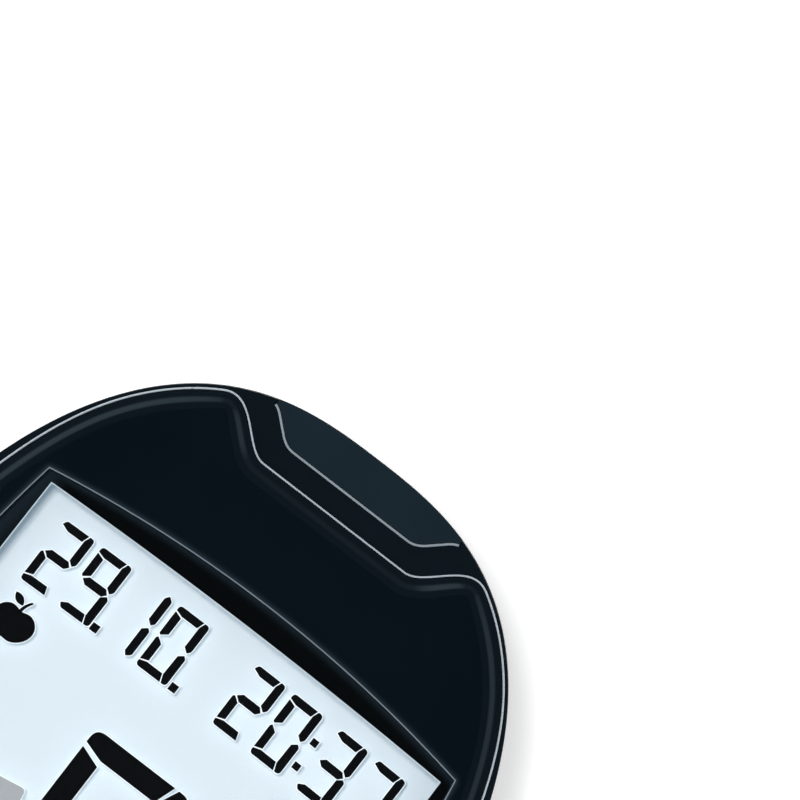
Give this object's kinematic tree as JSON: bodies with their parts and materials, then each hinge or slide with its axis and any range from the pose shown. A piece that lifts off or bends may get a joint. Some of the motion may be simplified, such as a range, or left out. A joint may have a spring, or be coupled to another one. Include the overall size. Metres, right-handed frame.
{
  "type": "blood glucose meter",
  "caption": "Egg-shaped handheld blood glucose meter with a large display, a strip port at the head, pressable round keys and a sliding battery door.",
  "frame": {"origin": "on the table under the middle of the body, the meter lying on its back", "axes": "+X to the right of the display, +Y towards the strip port at the head, +Z out of the display"},
  "size_m": [0.065, 0.098, 0.0204],
  "materials": {
    "case_dark": "satin moulded case",
    "face_gloss": "high gloss",
    "trim_bright": "polished edge",
    "hood_satin": "satin",
    "clear_lens": "clear polished",
    "print_black": "back print",
    "foam": "foam",
    "display": "liquid-crystal cell",
    "guide_white": "polished",
    "frame_white": "moulded",
    "zebra": "conductive stripes",
    "board_green": "solder mask",
    "chip_black": "moulded",
    "metal_can": "plated",
    "socket_ivory": "moulded",
    "silicone": "moulded silicone",
    "key_gloss": "gloss",
    "pill_black": "carbon",
    "cell_steel": "rolled steel",
    "contact_metal": "spring strip",
    "contact_gold": "gold plate",
    "grip_rubber": "moulded rubber",
    "foot_rubber": "moulded rubber",
    "screw_steel": "zinc plate"
  },
  "bodies": {
    "meter": {"rear_case": "case_dark", "front_case": "case_dark", "face_cover": "face_gloss", "face_trim": "trim_bright", "port_hood": "hood_satin", "port_trim": "trim_bright", "display_window": "clear_lens", "window_mask": "print_black", "display_gasket": "foam", "display_glass": "display", "light_guide": "guide_white", "display_frame": "frame_white", "zebra_upper": "zebra", "zebra_lower": "zebra", "main_board": "board_green", "processor_chip": "chip_black", "memory_chip": "chip_black", "crystal_can": "metal_can", "buzzer": "metal_can", "strip_socket": "socket_ivory", "data_socket": "metal_can", "keypad_sheet": "silicone", "power_dome": "silicone", "up_dome": "silicone", "down_dome": "silicone", "left_cell": "cell_steel", "left_plus_contact": "contact_metal", "left_minus_contact": "contact_metal", "left_grip": "grip_rubber", "right_cell": "cell_steel", "right_plus_contact": "contact_metal", "right_minus_contact": "contact_metal", "right_grip": "grip_rubber", "strip_contact_1": "contact_gold", "capacitor_1": "metal_can", "strip_contact_2": "contact_gold", "capacitor_2": "metal_can", "strip_contact_3": "contact_gold", "capacitor_3": "metal_can", "foot_1": "foot_rubber", "case_screw_1": "screw_steel", "foot_2": "foot_rubber", "case_screw_2": "screw_steel", "case_screw_3": "screw_steel", "case_screw_4": "screw_steel", "board_screw_1": "screw_steel", "board_screw_2": "screw_steel"},
    "power_key_body": {"power_key": "key_gloss", "power_pill": "pill_black"},
    "up_key_body": {"up_key": "key_gloss", "up_pill": "pill_black"},
    "down_key_body": {"down_key": "key_gloss", "down_pill": "pill_black"},
    "battery_door_body": {"battery_door": "case_dark", "foot_3": "foot_rubber", "foot_4": "foot_rubber"}
  },
  "joints": [
    {"name": "power_press", "type": "slide", "parent": "meter", "child": "power_key_body", "axis": [0, 0, -1], "range_m": [0, 0.0006], "stiffness_N_per_m": 2000, "springref_m": -0.0001, "deforming": ["power_dome"]},
    {"name": "up_press", "type": "slide", "parent": "meter", "child": "up_key_body", "axis": [0, 0, -1], "range_m": [0, 0.0006], "stiffness_N_per_m": 2000, "springref_m": -0.0001, "deforming": ["up_dome"]},
    {"name": "down_press", "type": "slide", "parent": "meter", "child": "down_key_body", "axis": [0, 0, -1], "range_m": [0, 0.0006], "stiffness_N_per_m": 2000, "springref_m": -0.0001, "deforming": ["down_dome"]},
    {"name": "door_slide", "type": "slide", "parent": "meter", "child": "battery_door_body", "axis": [0, -1, 0], "range_m": [0, 0.0135]}
  ]
}
